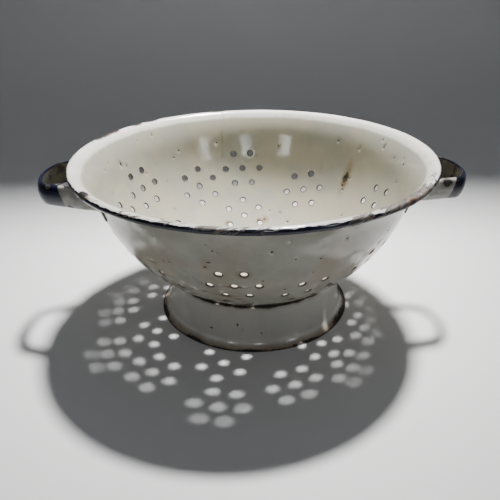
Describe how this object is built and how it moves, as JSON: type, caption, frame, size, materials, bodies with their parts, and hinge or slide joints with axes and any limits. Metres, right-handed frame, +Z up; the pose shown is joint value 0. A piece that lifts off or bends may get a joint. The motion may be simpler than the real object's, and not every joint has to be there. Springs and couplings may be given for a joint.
{
  "type": "footed colander",
  "caption": "Footed enamelled steel colander: a pierced round bowl with a rolled rim, a flared foot ring and two strap handles.",
  "frame": {"origin": "centre of the foot ring, on the surface it stands on", "axes": "+Z up through the middle of the bowl; +X towards the right handle, so the two handles lie along X; +Y away from the front"},
  "size_m": [0.3028, 0.255, 0.119],
  "materials": {
    "white_enamel": "glossy vitreous enamel, warm white, with chips, scratches and rust stains; cobalt blue on the rim's rolled edge",
    "blue_enamel": "glossy cobalt blue vitreous enamel on the grip, white on the legs, worn along the edges"
  },
  "bodies": {
    "root": {"bowl": "white_enamel", "foot_ring": "white_enamel", "left_handle": "blue_enamel", "right_handle": "blue_enamel"}
  },
  "joints": []
}
